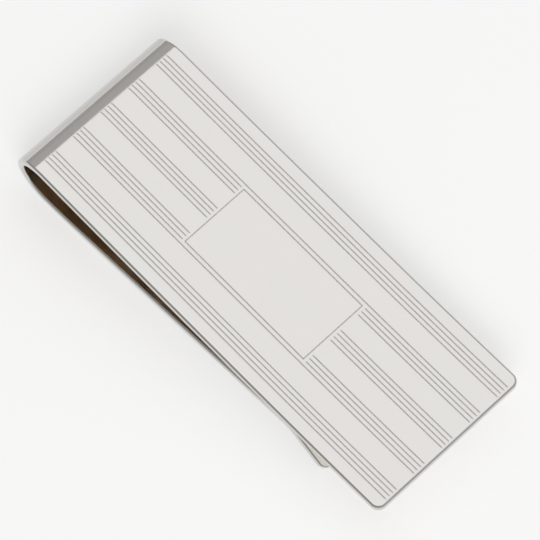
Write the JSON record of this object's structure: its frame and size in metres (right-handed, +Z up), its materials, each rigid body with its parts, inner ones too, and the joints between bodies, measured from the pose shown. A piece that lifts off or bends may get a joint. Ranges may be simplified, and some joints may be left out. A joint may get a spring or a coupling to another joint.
{
  "type": "money clip",
  "caption": "Sprung metal money clip: a bent strip with a line-engraved front plate, a rounded bow and a back leaf that pinches the plate and ends in a flared lip.",
  "frame": {"origin": "centre of the clip's box, on the surface that it lies on", "axes": "+X from the bow towards the free end of the front plate, +Y across the strip, +Z up, out of the engraved face"},
  "size_m": [0.0512, 0.019, 0.0075],
  "materials": {
    "silver": "polished sterling silver with a fine satin on the engraved face"
  },
  "bodies": {
    "front": {"front_plate": "silver", "bow": "silver"},
    "back_leaf": {"heel": "silver", "spring_leaf": "silver", "pinch_knee": "silver", "lift_lip": "silver"}
  },
  "joints": [
    {"name": "leaf_flex", "type": "hinge", "parent": "front", "child": "back_leaf", "pos_m": [-0.02184, 0, 0.0038], "axis": [0, 1, 0], "range_deg": [0, 6.5], "stiffness_Nm_per_rad": 4, "deforming": ["bow"]}
  ]
}
